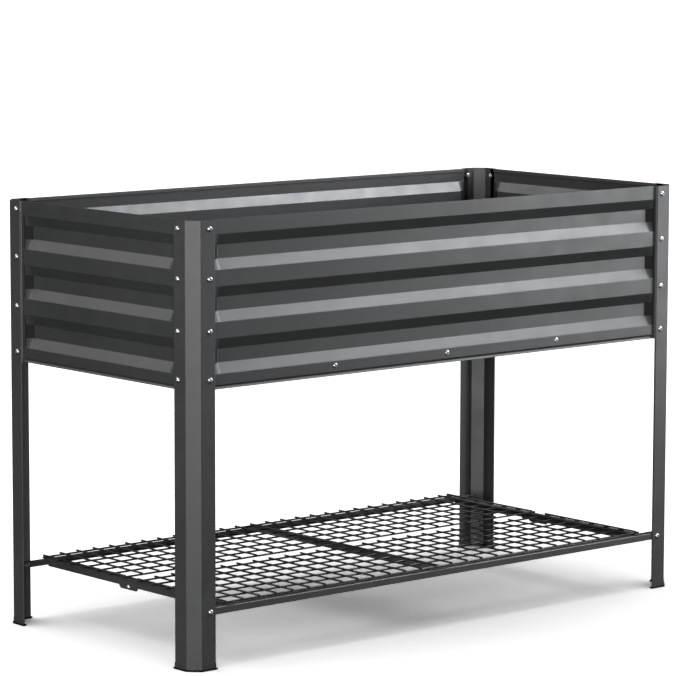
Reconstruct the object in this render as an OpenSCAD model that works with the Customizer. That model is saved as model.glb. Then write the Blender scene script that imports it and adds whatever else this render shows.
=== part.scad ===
// Raised planter on legs: a corrugated sheet-metal bed on four folded legs,
// with a wire mesh shelf below. Millimetres.
// +X runs to the right along the long front, +Y to the back, +Z up.
// Origin: middle of the footprint, on the ground.

/* [Overall] */
// Length over the legs, along X
overall_length = 1220; // [1000:10:1500]
// Width over the legs, along Y
overall_width = 572; // [460:2:700]
// Height from the ground to the top of the bed
overall_height = 808; // [660:2:1000]

/* [Bed] */
// Height of the corrugated bed panels
bed_height = 303.5; // [250:0.5:370]
// Depth of the flat faces of the bed panels behind the outer faces of the legs
panel_face = 8; // [6:0.5:12]
// How far the grooves of the bed panels go in
groove_depth = 10; // [6:0.5:13]
// Sheet thickness of the bed panels
panel_sheet = 1.4; // [1:0.1:2]
// Sheet thickness of the bed floor
floor_sheet = 1.2; // [1:0.1:2]
// Diameter of the drain holes in the bed floor
drain_hole = 8; // [5:0.5:12]

/* [Legs] */
// Width of each flat flange of a leg, beside its corner chamfer
leg_flange = 32.5; // [26:0.5:42]
// How far the corner chamfer of a leg reaches along each side
leg_chamfer = 20; // [16:0.5:26]
// Sheet thickness of the legs
leg_sheet = 1.5; // [1.2:0.1:2.5]
// Width of the hem folded flat behind each flange edge
leg_hem = 16; // [14:0.5:20]
// Thickness of the sole of a foot cap
foot_sole = 3.5; // [2:0.5:8]
// How far the sole of a foot cap stands out past the leg
foot_rim = 2.2; // [1.6:0.1:6]
// Height of the foot cap wall above its sole
foot_wall = 9; // [6:0.5:20]

/* [Shelf] */
// Height of the underside of the shelf rails
rail_bottom = 99.3; // [70:0.1:160]
// Height of a shelf rail
rail_height = 13.2; // [11:0.1:20]
// Depth of the top flange of a shelf rail
rail_flange = 16; // [14:0.5:22]
// Sheet thickness of the rails and cross bars
rail_sheet = 1.5; // [1.2:0.1:2.5]
// Distance from each end of the planter to the outer face of the shelf
shelf_inset = 82; // [66:1:110]
// Width of the end bars of the shelf
end_bar_width = 16; // [14:0.5:40]
// Width of the centre bar of the shelf
centre_bar_width = 46; // [34:1:56]
// Height of the bars above the rails
bar_rise = 2; // [2:0.5:5]
// Diameter of the mesh wires
wire = 3.8; // [2.5:0.1:5]
// Largest spacing of the mesh wires along the length
mesh_pitch = 40; // [30:1:60]
// Number of mesh cells from the gap to the front, and to the back
mesh_rows = 6; // [4:1:8]
// Gap between the front and the back mesh
mesh_gap = 47; // [30:1:60]

/* [Fasteners] */
// Diameter of the bed and rail bolts
bolt_shank = 6; // [5:0.5:8]
// Diameter of their heads
bolt_head = 10.5; // [9:0.5:14]
// Clearance added to each bolt hole
hole_clearance = 0.4; // [0.2:0.1:1]
// Distance from the outer faces of a leg to its bolts
bolt_inset = 40.7; // [38:0.1:44]

/* [Hidden] */
$fn = 48;
tiny = 0.01;
hl = overall_length / 2;
hw = overall_width / 2;
leg_span = leg_chamfer + leg_flange;
leg_back = 2 * leg_sheet;
bolt_hole = bolt_shank + hole_clearance;
nut_height = 0.83 * bolt_shank;
bolt_end = 1.6;
foot_skin = 0.6;

// Bed: levels of the corrugation, from the bottom up
bed_bottom = overall_height - bed_height;
bed_unit = bed_height / 303.5;
slope_rise = 19.5 * bed_unit;
recess_rise = 25.2 * bed_unit;
flat_rise = 28.7 * bed_unit;
bottom_rise = 27 * bed_unit;
groove_rise = 2 * slope_rise + recess_rise;
groove_levels = [for (i = [0:2]) bed_bottom + bottom_rise + i * (groove_rise + flat_rise)];
long_groove_inset = leg_span + 1.8;
long_groove_run = 15;
short_groove_inset = leg_span + 3;
short_groove_run = 17.5;
crease_low = 4.5;
crease_high = 8.5;
crease_depth = 2;
hem_drop = 6;
hem_sheet = panel_sheet;
panel_trim = 20;
panel_back = panel_face + panel_sheet;
return_flange = 16;
low_bolt = bed_bottom + 19;
bolt_levels = [
    low_bolt,
    bed_bottom + bottom_rise + groove_rise + flat_rise / 2,
    bed_bottom + bottom_rise + 2 * groove_rise + 1.5 * flat_rise,
    overall_height - 15.5
];

// Floor of the bed: three braces carry four plates
brace_positions = overall_length * [-0.223, 0.0035, 0.2375];
brace_width = 30;
brace_bottom = bed_bottom + panel_sheet + 0.5;
brace_top = bed_bottom + 12;
brace_sheet = 1.5;
brace_tab_top = bed_bottom + bottom_rise - 1;
floor_trim = 21;
floor_top = brace_top + floor_sheet;
floor_skirt = bed_bottom + panel_sheet;
plate_gap = 1;
plate_edges = [-hl + floor_trim, brace_positions[0], brace_positions[1], brace_positions[2], hl - floor_trim];

// Shelf
rail_top = rail_bottom + rail_height;
rail_face = leg_back;
rail_trim = 22;
rail_bolt = rail_bottom + 6.3;
bar_top = rail_top + bar_rise;
bar_end = hw - rail_face;
shelf_half = hl - shelf_inset;
web_bottom = rail_bottom + 1;
web_end = hw - rail_face - rail_flange - 0.5;
splice_front = -15;
splice_back = 40;
splice_bottom = web_bottom - 6;
splice_bolt_y = (splice_front + splice_back) / 2;
splice_bolt_z = splice_bottom + 5;
small_shank = 5;
small_head = 1.75 * small_shank;
small_hole = small_shank + hole_clearance;
rivet_hole = 3.4;
rivet_head = 5;
rivet_boss = 8;
rivet_inset = rail_face + rail_flange - 2.9;

// Mesh wires
wire_lap = 0.3;
mesh_half = shelf_half + wire / 2;
mesh_cells = 2 * ceil(mesh_half / mesh_pitch - 0.5) + 1;
mesh_step = 2 * mesh_half / mesh_cells;
last_wire = shelf_half - 12;
wire_stub = 5;
end_stub = 12;
mesh_near = mesh_gap / 2;
mesh_far = hw - rail_face - 8;
mesh_row = (mesh_far - mesh_near) / mesh_rows;
low_wire = bar_top + wire / 2;
high_wire = low_wire + wire - wire_lap;
centre_bar_x = -0.4 * mesh_step;

paint = [0.25, 0.26, 0.27];
black = [0.06, 0.06, 0.06];
zinc = [0.78, 0.79, 0.81];

// ---- shared shapes ----

// Puts a corner part, drawn for the front left, at the corner given by its signs
module at_corner(sx, sy) {
    mirror([sx > 0 ? 1 : 0, 0, 0])
        mirror([0, sy > 0 ? 1 : 0, 0])
            translate([-hl, -hw, 0])
                children();
}

// Points a part drawn along +Z into the face whose outward side is named
module into_front(x, y, z) {
    translate([x, y, z])
        rotate([-90, 0, 0])
            children();
}

module into_left(x, y, z) {
    translate([x, y, z])
        rotate([0, 90, 0])
            children();
}

// A round-headed bolt: head below z = 0, shank above
module bolt(shank, head, grip) {
    rise = 0.32 * head;
    rotate_extrude()
        polygon([
            [0, -rise],
            [0.22 * head, -rise * 0.97],
            [0.36 * head, -rise * 0.82],
            [0.46 * head, -rise * 0.5],
            [0.5 * head, -rise * 0.12],
            [0.5 * head, 0],
            [shank / 2, 0],
            [shank / 2, grip],
            [0, grip]
        ]);
}

module socketed_bolt(shank, head, grip) {
    difference() {
        bolt(shank, head, grip);
        translate([0, 0, -0.32 * head - 1])
            cylinder(d = 0.42 * head, h = 1 + 0.17 * head, $fn = 6);
    }
}

// A hexagon nut, from z = 0 up, around a shank
module nut(shank) {
    difference() {
        cylinder(d = 1.67 * shank / cos(30), h = 0.83 * shank, $fn = 6);
        translate([0, 0, -1])
            cylinder(d = shank + tiny * 10, h = shank + 2);
    }
}

// ---- legs and foot caps ----

// Section of a folded leg, outer corner at the origin, its edges hemmed flat
module leg_section() {
    bend = 0.4142 * leg_sheet;
    polygon([
        [0, leg_span],
        [0, leg_chamfer],
        [leg_chamfer, 0],
        [leg_span, 0],
        [leg_span, leg_back],
        [leg_span - leg_hem, leg_back],
        [leg_span - leg_hem, leg_sheet],
        [leg_chamfer + bend, leg_sheet],
        [leg_sheet, leg_chamfer + bend],
        [leg_sheet, leg_span - leg_hem],
        [leg_back, leg_span - leg_hem],
        [leg_back, leg_span]
    ]);
}

module leg_piece() {
    difference() {
        translate([0, 0, foot_sole])
            linear_extrude(overall_height - foot_sole)
                leg_section();
        for (z = bolt_levels) {
            into_front(bolt_inset, -1, z)
                cylinder(d = bolt_hole, h = leg_back + 2);
            into_left(-1, bolt_inset, z)
                cylinder(d = bolt_hole, h = leg_back + 2);
        }
        into_front(bolt_inset, -1, rail_bolt)
            cylinder(d = bolt_hole, h = leg_back + 2);
    }
}

module leg_front_left() color(paint) at_corner(-1, -1) leg_piece();
module leg_front_right() color(paint) at_corner(1, -1) leg_piece();
module leg_back_left() color(paint) at_corner(-1, 1) leg_piece();
module leg_back_right() color(paint) at_corner(1, 1) leg_piece();

// Section of the sole: a band that follows the leg, wider on both sides
module sole_section() {
    out = foot_rim;
    in = leg_back + 1.5;
    polygon([
        [-out, leg_span + out],
        [-out, leg_chamfer - 0.4142 * out],
        [leg_chamfer - 0.4142 * out, -out],
        [leg_span + out, -out],
        [leg_span + out, in],
        [leg_chamfer + 0.4142 * in, in],
        [in, leg_chamfer + 0.4142 * in],
        [in, leg_span + out]
    ]);
}

// Section of the cap wall that wraps the outside of the leg
module wrap_section() {
    out = foot_skin;
    polygon([
        [-out, leg_span],
        [-out, leg_chamfer - 0.4142 * out],
        [leg_chamfer - 0.4142 * out, -out],
        [leg_span, -out],
        [leg_span, 0],
        [leg_chamfer, 0],
        [0, leg_chamfer],
        [0, leg_span]
    ]);
}

module foot_piece() {
    linear_extrude(foot_sole)
        sole_section();
    translate([0, 0, foot_sole - tiny])
        linear_extrude(foot_wall + tiny)
            wrap_section();
}

module foot_cap_front_left() color(black) at_corner(-1, -1) foot_piece();
module foot_cap_front_right() color(black) at_corner(1, -1) foot_piece();
module foot_cap_back_left() color(black) at_corner(-1, 1) foot_piece();
module foot_cap_back_right() color(black) at_corner(1, 1) foot_piece();

// ---- bed panels ----

// Outer line of a panel between its grooves as [depth, level], from the bottom up
function wall_line() = [
    [panel_face, bed_bottom],
    [panel_face + crease_depth, bed_bottom + crease_low],
    [panel_face, bed_bottom + crease_high],
    [panel_face, overall_height]
];

function shifted(line, by) = [for (i = [len(line) - 1:-1:0]) [line[i][0] + by, line[i][1]]];

// The tapering block that a groove takes up, pushed in from the face. Its mouth is
// 2 * half long at depth 0 and narrows towards depth groove_depth on all four sides,
// by length_run at each end.
module groove_block(base, half, length_run, push, start) {
    rise = slope_rise / groove_depth;
    run = length_run / groove_depth;
    from = panel_face + push + start;
    to = panel_face + push + groove_depth;
    intersection() {
        rotate([90, 0, 90])
            translate([0, 0, -half - length_run])
                linear_extrude(2 * (half + length_run))
                    polygon([
                        [from, base + start * rise],
                        [to, base + slope_rise],
                        [to, base + groove_rise - slope_rise],
                        [from, base + groove_rise - start * rise]
                    ]);
        translate([0, 0, base - slope_rise])
            linear_extrude(groove_rise + 2 * slope_rise)
                polygon([
                    [-half + start * run, from],
                    [half - start * run, from],
                    [half - length_run, to],
                    [-half + length_run, to]
                ]);
    }
}

// A wall with three pressed grooves, its outer side towards -Y and the outer faces of
// the legs at y = 0. It reaches half each way; next to the legs, past edge, it steps
// out to lie against their hems. groove_half is half the length of a groove's mouth.
module wall(half, edge, groove_half, length_run) {
    difference() {
        union() {
            rotate([90, 0, 90])
                translate([0, 0, -edge])
                    linear_extrude(2 * edge)
                        polygon(concat(wall_line(), shifted(wall_line(), panel_sheet)));
            for (base = groove_levels)
                groove_block(base, groove_half, length_run, panel_sheet, -panel_sheet / 2);
        }
        for (base = groove_levels)
            groove_block(base, groove_half, length_run, 0, -1);
    }
    for (side = [0, 1])
        mirror([side, 0, 0]) {
            translate([edge - panel_sheet, leg_back, bed_bottom])
                cube([panel_sheet, panel_back - leg_back, bed_height]);
            translate([edge - panel_sheet, leg_back, bed_bottom])
                cube([half - edge + panel_sheet, panel_sheet, bed_height]);
        }
    translate([-edge, panel_face + panel_sheet / 2, bed_bottom])
        cube([2 * edge, return_flange - panel_sheet / 2, panel_sheet]);
    translate([-edge, panel_back - tiny, overall_height - hem_drop])
        cube([2 * edge, hem_sheet + tiny, hem_drop]);
}

module wall_end_holes(half) {
    for (side = [-1, 1])
        for (z = bolt_levels)
            into_front(side * (half - bolt_inset), leg_back - 1, z)
                cylinder(d = bolt_hole, h = panel_sheet + 2);
}

module long_wall() {
    difference() {
        wall(hl - panel_trim, hl - leg_span, hl - long_groove_inset, long_groove_run);
        wall_end_holes(hl);
        for (x = brace_positions)
            into_front(x, panel_face - 1, low_bolt)
                cylinder(d = bolt_hole, h = panel_sheet + 2);
    }
}

module short_wall() {
    difference() {
        wall(hw - panel_trim, hw - leg_span, hw - short_groove_inset, short_groove_run);
        wall_end_holes(hw);
    }
}

module front_panel() color(paint) translate([0, -hw, 0]) long_wall();
module back_panel() color(paint) mirror([0, 1, 0]) translate([0, -hw, 0]) long_wall();
module left_panel() color(paint) rotate([0, 0, -90]) translate([0, -hl, 0]) short_wall();
module right_panel() color(paint) rotate([0, 0, 90]) translate([0, -hl, 0]) short_wall();

// ---- bed floor ----

module brace(x) {
    span = overall_width - 2 * panel_back;
    tab = brace_sheet;
    difference() {
        union() {
            translate([x - brace_width / 2, -span / 2, brace_top - brace_sheet])
                cube([brace_width, span, brace_sheet]);
            for (side = [0, 1])
                translate([x - brace_width / 2 + side * (brace_width - brace_sheet), -span / 2 + 6, brace_bottom])
                    cube([brace_sheet, span - 12, brace_top - brace_bottom]);
            for (side = [0, 1])
                translate([x - brace_width / 2, -span / 2 + side * (span - tab), brace_top - brace_sheet])
                    cube([brace_width, tab, brace_tab_top - brace_top + brace_sheet]);
        }
        into_front(x, -span / 2 - 1, low_bolt)
            cylinder(d = bolt_hole, h = tab + 2);
        into_front(x, span / 2 - tab - 1, low_bolt)
            cylinder(d = bolt_hole, h = tab + 2);
    }
}

module floor_brace_left() color(paint) brace(brace_positions[0]);
module floor_brace_middle() color(paint) brace(brace_positions[1]);
module floor_brace_right() color(paint) brace(brace_positions[2]);

// A floor plate between two edges, its skirts standing on the panel flanges
module floor_plate(left, right, left_skirt, right_skirt) {
    x1 = left + (left_skirt ? 0 : plate_gap / 2);
    x2 = right - (right_skirt ? 0 : plate_gap / 2);
    s1 = left + (left_skirt ? 0 : brace_width / 2 + 1);
    s2 = right - (right_skirt ? 0 : brace_width / 2 + 1);
    half = hw - floor_trim;
    skirt = floor_top - floor_skirt;
    difference() {
        union() {
            translate([x1, -half, brace_top])
                cube([x2 - x1, 2 * half, floor_sheet]);
            translate([s1, -half, floor_skirt])
                cube([s2 - s1, floor_sheet, skirt]);
            translate([s1, half - floor_sheet, floor_skirt])
                cube([s2 - s1, floor_sheet, skirt]);
            if (left_skirt)
                translate([x1, -half + 5, floor_skirt])
                    cube([floor_sheet, 2 * half - 10, skirt]);
            if (right_skirt)
                translate([x2 - floor_sheet, -half + 5, floor_skirt])
                    cube([floor_sheet, 2 * half - 10, skirt]);
        }
        for (i = [0:2])
            for (j = [-1:1])
                translate([s1 + (s2 - s1) * (i + 0.5) / 3, j * half * 0.6, brace_top - 1])
                    cylinder(d = drain_hole, h = floor_sheet + 2);
    }
}

module floor_plate_1() color(paint) floor_plate(plate_edges[0], plate_edges[1], true, false);
module floor_plate_2() color(paint) floor_plate(plate_edges[1], plate_edges[2], false, false);
module floor_plate_3() color(paint) floor_plate(plate_edges[2], plate_edges[3], false, false);
module floor_plate_4() color(paint) floor_plate(plate_edges[3], plate_edges[4], false, true);

// ---- shelf ----

// The front rail: an angle with its flange at the top, pointing inward
module rail() {
    length = overall_length - 2 * rail_trim;
    difference() {
        union() {
            translate([-length / 2, -hw + rail_face, rail_bottom])
                cube([length, rail_sheet, rail_height]);
            translate([-length / 2, -hw + rail_face, rail_top - rail_sheet])
                cube([length, rail_flange, rail_sheet]);
        }
        for (side = [-1, 1])
            into_front(side * (hl - bolt_inset), -hw + rail_face - 1, rail_bolt)
                cylinder(d = bolt_hole, h = rail_sheet + 2);
        for (x = rivet_positions())
            translate([x, -hw + rivet_inset, rail_top - rail_sheet - 1])
                cylinder(d = rivet_hole, h = rail_sheet + 2);
    }
}

function end_rivet_x() = shelf_half - end_bar_width / 2;

function rivet_positions() = [-end_rivet_x(), centre_bar_x, end_rivet_x()];

module shelf_rail_front() color(paint) rail();
module shelf_rail_back() color(paint) mirror([0, 1, 0]) rail();

// Outline of the back web of the left end bar, as [y, z]
module back_web_outline() {
    clip = 4;
    polygon([
        [splice_front, splice_bottom + clip],
        [splice_front + clip, splice_bottom],
        [splice_back - clip, splice_bottom],
        [splice_back, splice_bottom + clip],
        [splice_back + 2, web_bottom],
        [web_end, web_bottom],
        [web_end, rail_top],
        [bar_end, rail_top],
        [bar_end, bar_top],
        [splice_front, bar_top]
    ]);
}

module front_web_outline() {
    polygon([
        [splice_front - 0.5, web_bottom],
        [splice_front - 0.5, bar_top],
        [-bar_end, bar_top],
        [-bar_end, rail_top],
        [-web_end, rail_top],
        [-web_end, web_bottom]
    ]);
}

// The strip on the front web that passes behind the back web
module lap_outline() {
    polygon([
        [splice_front - 30, web_bottom + 1],
        [splice_front, web_bottom + 1],
        [splice_front + 4, splice_bottom + 1],
        [splice_back - 4, splice_bottom + 1],
        [splice_back - 1, splice_bottom + 5],
        [splice_back - 1, bar_top - 3],
        [splice_front - 30, bar_top - 3]
    ]);
}

// Stands a [y, z] outline up as a sheet whose left side is at x
module standing_sheet(x, sheet) {
    translate([x, 0, 0])
        rotate([90, 0, 90])
            linear_extrude(sheet)
                children();
}

module bar_rivet_hole(x, y) {
    translate([x, y, rail_top - 1])
        cylinder(d = rivet_hole, h = bar_rise + 2);
}

module end_bar_back() {
    difference() {
        union() {
            standing_sheet(-shelf_half, rail_sheet)
                back_web_outline();
            translate([-shelf_half, splice_front, bar_top - rail_sheet])
                cube([end_bar_width, bar_end - splice_front, rail_sheet]);
            bar_rivet_boss(-end_rivet_x(), hw - rivet_inset);
        }
        into_left(-shelf_half - 1, splice_bolt_y, splice_bolt_z)
            cylinder(d = small_hole, h = rail_sheet + 2);
        bar_rivet_hole(-end_rivet_x(), hw - rivet_inset);
    }
}

module end_bar_front() {
    difference() {
        union() {
            standing_sheet(-shelf_half, rail_sheet)
                front_web_outline();
            standing_sheet(-shelf_half + rail_sheet, rail_sheet)
                lap_outline();
            translate([-shelf_half, -bar_end, bar_top - rail_sheet])
                cube([end_bar_width, bar_end + splice_front - 0.5, rail_sheet]);
            bar_rivet_boss(-end_rivet_x(), -hw + rivet_inset);
        }
        into_left(-shelf_half + rail_sheet - 1, splice_bolt_y, splice_bolt_z)
            cylinder(d = small_hole, h = rail_sheet + 2);
        bar_rivet_hole(-end_rivet_x(), -hw + rivet_inset);
    }
}

// A pressed boss that brings the bar down onto the rail around a rivet
module bar_rivet_boss(x, y) {
    translate([x, y, rail_top])
        cylinder(d = rivet_boss, h = bar_rise - rail_sheet / 2);
}

module shelf_end_bar_left_front() color(paint) end_bar_front();
module shelf_end_bar_left_back() color(paint) end_bar_back();
module shelf_end_bar_right_front() color(paint) mirror([1, 0, 0]) end_bar_front();
module shelf_end_bar_right_back() color(paint) mirror([1, 0, 0]) end_bar_back();

module shelf_centre_bar() color(paint) {
    left = centre_bar_x - centre_bar_width / 2;
    difference() {
        union() {
            translate([left, -bar_end, bar_top - rail_sheet])
                cube([centre_bar_width, 2 * bar_end, rail_sheet]);
            for (side = [0, 1])
                translate([left + side * (centre_bar_width - rail_sheet), -bar_end, rail_top])
                    cube([rail_sheet, 2 * bar_end, bar_rise]);
            for (y = [-1, 1])
                bar_rivet_boss(centre_bar_x, y * (hw - rivet_inset));
        }
        for (y = [-1, 1])
            bar_rivet_hole(centre_bar_x, y * (hw - rivet_inset));
    }
}

// The back mesh: long wires below, cross wires welded on top of them
module mesh() {
    turn = 22.5;
    cross_wires = concat([for (i = [0:mesh_cells - 1]) -mesh_half + i * mesh_step], [last_wire]);
    for (row = [0:mesh_rows])
        translate([-mesh_half - wire_stub, mesh_near + row * mesh_row, low_wire])
            rotate([0, 90, 0])
                rotate([0, 0, turn])
                    cylinder(d = wire, h = mesh_half + wire_stub + last_wire + end_stub, $fn = 8);
    for (x = cross_wires)
        translate([x, mesh_near - wire_stub, high_wire])
            rotate([-90, 0, 0])
                rotate([0, 0, turn])
                    cylinder(d = wire, h = mesh_far - mesh_near + 2 * wire_stub, $fn = 8);
}

module shelf_mesh_back() color(black) mesh();
module shelf_mesh_front() color(black) mirror([0, 1, 0]) mesh();

// ---- fasteners ----

// Repeats a part drawn for one front bolt of the left front leg on all flanges
module on_each_leg_bolt() {
    for (sx = [-1, 1])
        for (sy = [-1, 1])
            at_corner(sx, sy)
                for (z = bolt_levels) {
                    into_front(bolt_inset, 0, z)
                        children();
                    into_left(0, bolt_inset, z)
                        children();
                }
}

module leg_bolts() color(zinc) on_each_leg_bolt()
    socketed_bolt(bolt_shank, bolt_head, leg_back + panel_sheet + nut_height + bolt_end);

module leg_nuts() color(zinc) on_each_leg_bolt()
    translate([0, 0, leg_back + panel_sheet])
        nut(bolt_shank);

module on_each_brace_bolt() {
    for (sy = [0, 1])
        mirror([0, sy, 0])
            for (x = brace_positions)
                into_front(x, -hw + panel_face, low_bolt)
                    children();
}

module brace_bolts() color(zinc) on_each_brace_bolt()
    socketed_bolt(bolt_shank, bolt_head, panel_sheet + brace_sheet + nut_height + bolt_end);

module brace_nuts() color(zinc) on_each_brace_bolt()
    translate([0, 0, panel_sheet + brace_sheet])
        nut(bolt_shank);

module on_each_rail_bolt() {
    for (sx = [-1, 1])
        for (sy = [-1, 1])
            at_corner(sx, sy)
                into_front(bolt_inset, 0, rail_bolt)
                    children();
}

module rail_bolts() color(zinc) on_each_rail_bolt()
    socketed_bolt(bolt_shank, bolt_head, rail_face + rail_sheet + nut_height + bolt_end);

module rail_nuts() color(zinc) on_each_rail_bolt()
    translate([0, 0, rail_face + rail_sheet])
        nut(bolt_shank);

module on_each_splice() {
    for (sx = [0, 1])
        mirror([sx, 0, 0])
            into_left(-shelf_half, splice_bolt_y, splice_bolt_z)
                children();
}

module splice_bolts() color(zinc) on_each_splice()
    socketed_bolt(small_shank, small_head, 2 * rail_sheet + 0.83 * small_shank + 1);

module splice_nuts() color(zinc) on_each_splice()
    translate([0, 0, 2 * rail_sheet])
        nut(small_shank);

// Rivets that hold the bars on the rails, heads above and below
module shelf_rivets() color(black)
    for (sy = [-1, 1])
        for (x = rivet_positions())
            translate([x, sy * (hw - rivet_inset), 0]) {
                translate([0, 0, bar_top])
                    cylinder(d = rivet_head, h = 1.2);
                translate([0, 0, rail_top - rail_sheet])
                    cylinder(d = rivet_hole - 0.2, h = bar_rise + rail_sheet + 0.5);
                translate([0, 0, rail_top - rail_sheet - 1.2])
                    cylinder(d = rivet_head - 1, h = 1.2 + tiny);
            }

// ---- placement ----

leg_front_left();
leg_front_right();
leg_back_left();
leg_back_right();
foot_cap_front_left();
foot_cap_front_right();
foot_cap_back_left();
foot_cap_back_right();
front_panel();
back_panel();
left_panel();
right_panel();
floor_brace_left();
floor_brace_middle();
floor_brace_right();
floor_plate_1();
floor_plate_2();
floor_plate_3();
floor_plate_4();
shelf_rail_front();
shelf_rail_back();
shelf_end_bar_left_front();
shelf_end_bar_left_back();
shelf_end_bar_right_front();
shelf_end_bar_right_back();
shelf_centre_bar();
shelf_mesh_front();
shelf_mesh_back();
leg_bolts();
leg_nuts();
brace_bolts();
brace_nuts();
rail_bolts();
rail_nuts();
splice_bolts();
splice_nuts();
shelf_rivets();
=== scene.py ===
"""Raised planter on legs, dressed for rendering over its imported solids.

Every length is in metres. +X runs to the right along the long front, +Y to the
back and +Z up, with the origin on the ground in the middle of the footprint.
"""

import logging
import math
from dataclasses import dataclass, field
from enum import Enum

import bpy
from mathutils import Matrix, Vector


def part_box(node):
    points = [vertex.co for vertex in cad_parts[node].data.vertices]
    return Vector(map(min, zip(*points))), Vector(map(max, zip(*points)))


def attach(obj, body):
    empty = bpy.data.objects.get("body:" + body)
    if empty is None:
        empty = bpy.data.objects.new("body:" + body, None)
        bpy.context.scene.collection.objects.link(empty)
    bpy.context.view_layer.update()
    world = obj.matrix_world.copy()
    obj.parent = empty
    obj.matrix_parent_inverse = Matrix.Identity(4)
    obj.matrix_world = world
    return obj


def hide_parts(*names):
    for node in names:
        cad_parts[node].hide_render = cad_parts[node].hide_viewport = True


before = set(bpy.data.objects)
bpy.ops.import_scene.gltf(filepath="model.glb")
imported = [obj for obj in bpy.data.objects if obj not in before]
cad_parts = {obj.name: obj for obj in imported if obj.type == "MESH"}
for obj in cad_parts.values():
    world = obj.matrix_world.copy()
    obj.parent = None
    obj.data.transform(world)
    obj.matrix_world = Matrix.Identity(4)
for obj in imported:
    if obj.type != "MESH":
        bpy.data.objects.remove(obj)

LOG = logging.getLogger("planter")
MM = 0.001
X_AXIS, Y_AXIS, Z_AXIS = (Vector(row) for row in Matrix.Identity(3))

Point = tuple[float, float]
Place = tuple[float, float, float]
Colour = tuple[float, float, float]


class Side(Enum):
    """Which side of a line the thickness of a sheet is on."""

    LEFT = 1
    RIGHT = -1


class Corner(Enum):
    """The four corners of the planter, as the signs of X and Y."""

    FRONT_LEFT = (-1, -1)
    FRONT_RIGHT = (1, -1)
    BACK_LEFT = (-1, 1)
    BACK_RIGHT = (1, 1)

    @property
    def label(self) -> str:
        """The corner's name as used in node names."""
        return self.name.lower()


class Wall(Enum):
    """The four walls of the bed, each as its outward direction in X and Y."""

    FRONT = (0, -1)
    BACK = (0, 1)
    LEFT = (-1, 0)
    RIGHT = (1, 0)

    @property
    def label(self) -> str:
        """The wall's name as used in node names."""
        return self.name.lower()


# ---------------------------------------------------------------- mesh making


@dataclass
class MeshMaker:
    """Collects vertices and faces and turns them into one object."""

    verts: list[Place] = field(default_factory=list)
    faces: list[tuple[int, ...]] = field(default_factory=list)
    slots: list[int] = field(default_factory=list)

    def add(
        self, verts: list[Place], faces: list[tuple[int, ...]], slot: int = 0
    ) -> None:
        """Adds one shell.

        Args:
            verts: Vertices of the shell.
            faces: Faces that index into those vertices.
            slot: Material slot of the faces.
        """
        start = len(self.verts)
        self.verts.extend(verts)
        self.faces.extend(tuple(i + start for i in f) for f in faces)
        self.slots.extend([slot] * len(faces))

    def finish(self, name: str, sharp_degrees: float = 34.0) -> bpy.types.Object:
        """Makes the object and shades it smooth, apart from its sharp edges.

        Args:
            name: Name of the object and of its mesh.
            sharp_degrees: Edges that bend more than this stay sharp.

        Returns:
            The new object, linked into the scene.
        """
        mesh = bpy.data.meshes.new(name)
        mesh.from_pydata(self.verts, [], self.faces)
        mesh.validate()
        for polygon, slot in zip(mesh.polygons, self.slots):
            polygon.use_smooth = True
            polygon.material_index = slot
        mesh.set_sharp_from_angle(angle=math.radians(sharp_degrees))
        mesh.update()
        made = bpy.data.objects.new(name, mesh)
        bpy.context.scene.collection.objects.link(made)
        return made


def soften_edges(obj: bpy.types.Object, width: float, degrees: float = 50.0) -> None:
    """Rounds the sharp edges of a piece with a narrow bevel.

    Args:
        obj: The piece.
        width: Width of the bevel.
        degrees: Edges that bend more than this are rounded.
    """
    bevel = obj.modifiers.new("soft_edges", "BEVEL")
    bevel.width = width
    bevel.segments = 2
    bevel.limit_method = "ANGLE"
    bevel.angle_limit = math.radians(degrees)
    even = obj.modifiers.new("flat_faces_stay_flat", "WEIGHTED_NORMAL")
    even.keep_sharp = True


def rounded_line(
    points: list[Point], radii: list[float], steps: int = 5
) -> list[Point]:
    """Rounds the inner corners of an open line.

    Args:
        points: The line's corners, ends included.
        radii: One bend radius per corner; those of the two ends are not used.
        steps: Number of segments in each bend.

    Returns:
        The line with each corner replaced by an arc.
    """
    line: list[Point] = [points[0]]
    for i in range(1, len(points) - 1):
        before, here, after = (Vector(points[i + k]) for k in (-1, 0, 1))
        into, out = (here - before), (after - here)
        turn = into.angle(out, 0.0)
        if turn < 0.01 or radii[i] <= 0:
            line.append(points[i])
            continue
        reach = radii[i] * math.tan(turn / 2)
        reach = min(reach, into.length * 0.48, out.length * 0.48)
        start, end = here - into.normalized() * reach, here + out.normalized() * reach
        for step in range(steps + 1):
            t = step / steps
            at = start * (1 - t) ** 2 + here * 2 * t * (1 - t) + end * t**2
            line.append((at.x, at.y))
    line.append(points[-1])
    return line


def offset_line(line: list[Point], by: float, side: Side) -> list[Point]:
    """Moves an open line sideways, with mitred corners.

    Args:
        line: The line.
        by: Distance to move it.
        side: The side it moves to.

    Returns:
        The moved line, with one point per point of the first.
    """
    moved: list[Point] = []
    count = len(line)
    for i in range(count):
        here = Vector(line[i])
        into = (here - Vector(line[i - 1])) if i else (Vector(line[1]) - here)
        out = (Vector(line[i + 1]) - here) if i < count - 1 else into
        into, out = into.normalized(), out.normalized()
        bisector = (into + out).normalized()
        normal = Vector((-bisector.y, bisector.x)) * side.value
        stretch = 1 / max(0.35, bisector.dot(into))
        at = here + normal * by * stretch
        moved.append((at.x, at.y))
    return moved


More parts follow.
